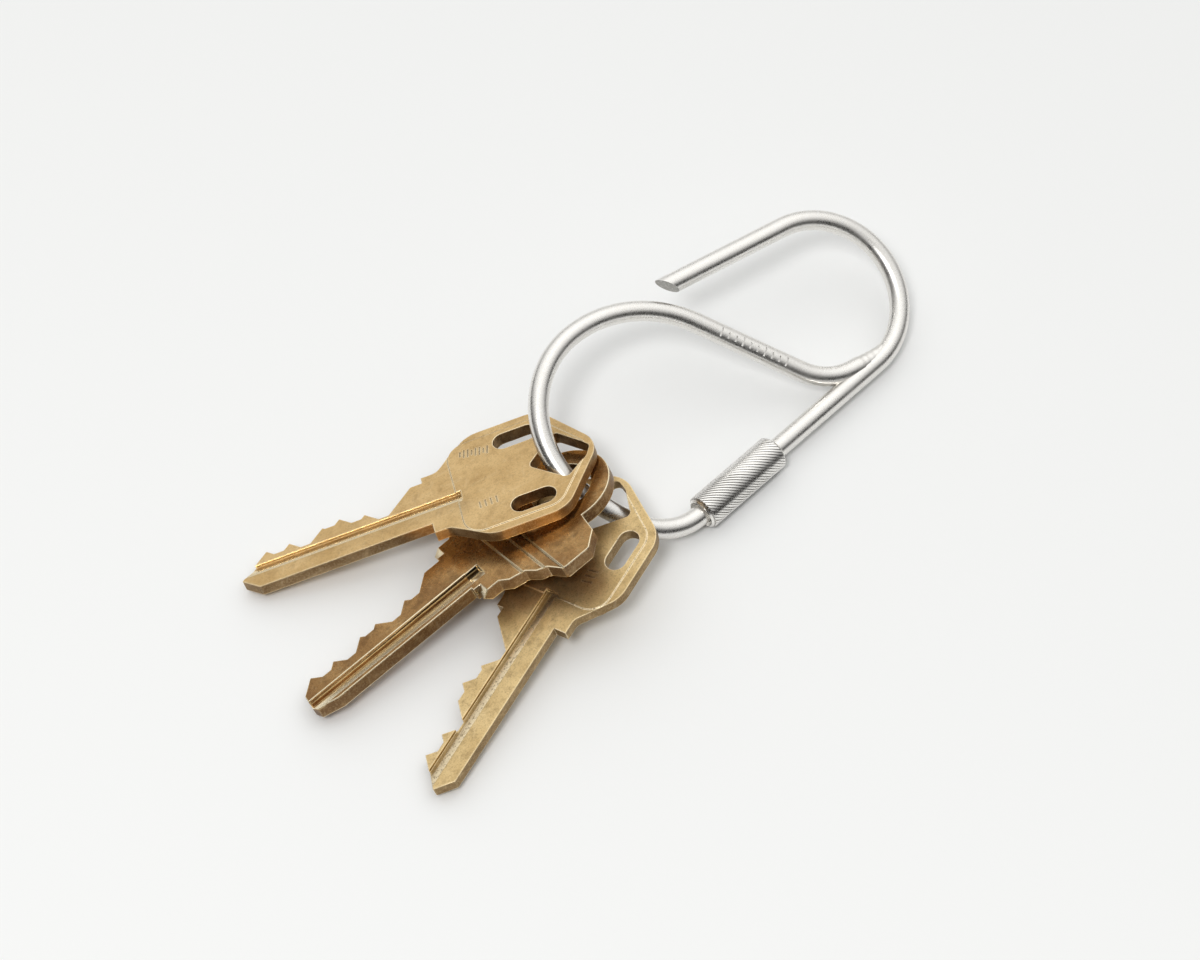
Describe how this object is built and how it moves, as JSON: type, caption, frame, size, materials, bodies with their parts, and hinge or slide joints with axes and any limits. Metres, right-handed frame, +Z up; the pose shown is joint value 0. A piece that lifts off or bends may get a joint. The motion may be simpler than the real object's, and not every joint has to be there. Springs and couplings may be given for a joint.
{
  "type": "carabiner keyring",
  "caption": "Bent wire key holder with an open hook end, a knurled sliding closure on its rod, and door keys threaded on its loop.",
  "frame": {"origin": "middle of the whole set's bounding box, on the table it lies on", "axes": "+X along the ring's straight rod towards the hook bend, which is the set's longest extent; +Y across the table towards the hook's arm; +Z up"},
  "size_m": [0.1081, 0.0448, 0.0172],
  "materials": {
    "wire": "tumbled satin stainless steel wire",
    "sleeve": "stainless steel with a fine slanting knurl",
    "pale_key": "pale matt brass, handled and scuffed",
    "dark_key": "darker aged brass with a bright milled groove",
    "olive_key": "olive aged brass, speckled in the groove"
  },
  "bodies": {
    "frame": {"main_wire": "wire", "loop_wire": "wire"},
    "sleeve": {"sleeve": "sleeve"},
    "top_key": {"top_key": "pale_key"},
    "middle_key": {"middle_key": "dark_key"},
    "bottom_key": {"bottom_key": "olive_key"}
  },
  "joints": [
    {"name": "sleeve_slide", "type": "slide", "parent": "frame", "child": "sleeve", "axis": [1, 0, 0], "range_m": [0, 0.0066]},
    {"name": "top_key_swing", "type": "hinge", "parent": "frame", "child": "top_key", "pos_m": [-0.00696, -0.00101, 0.01079], "axis": [-0.0463, 0.3281, 0.9435], "range_deg": [-3, 16]},
    {"name": "middle_key_swing", "type": "hinge", "parent": "frame", "child": "middle_key", "pos_m": [-0.00771, -0.0044, 0.00931], "axis": [-0.1067, 0.4137, 0.9041], "range_deg": [-1, 16]},
    {"name": "bottom_key_swing", "type": "hinge", "parent": "frame", "child": "bottom_key", "pos_m": [-0.00573, -0.00911, 0.00684], "axis": [-0.1687, 0.2007, 0.965], "range_deg": [-2, 8]}
  ]
}
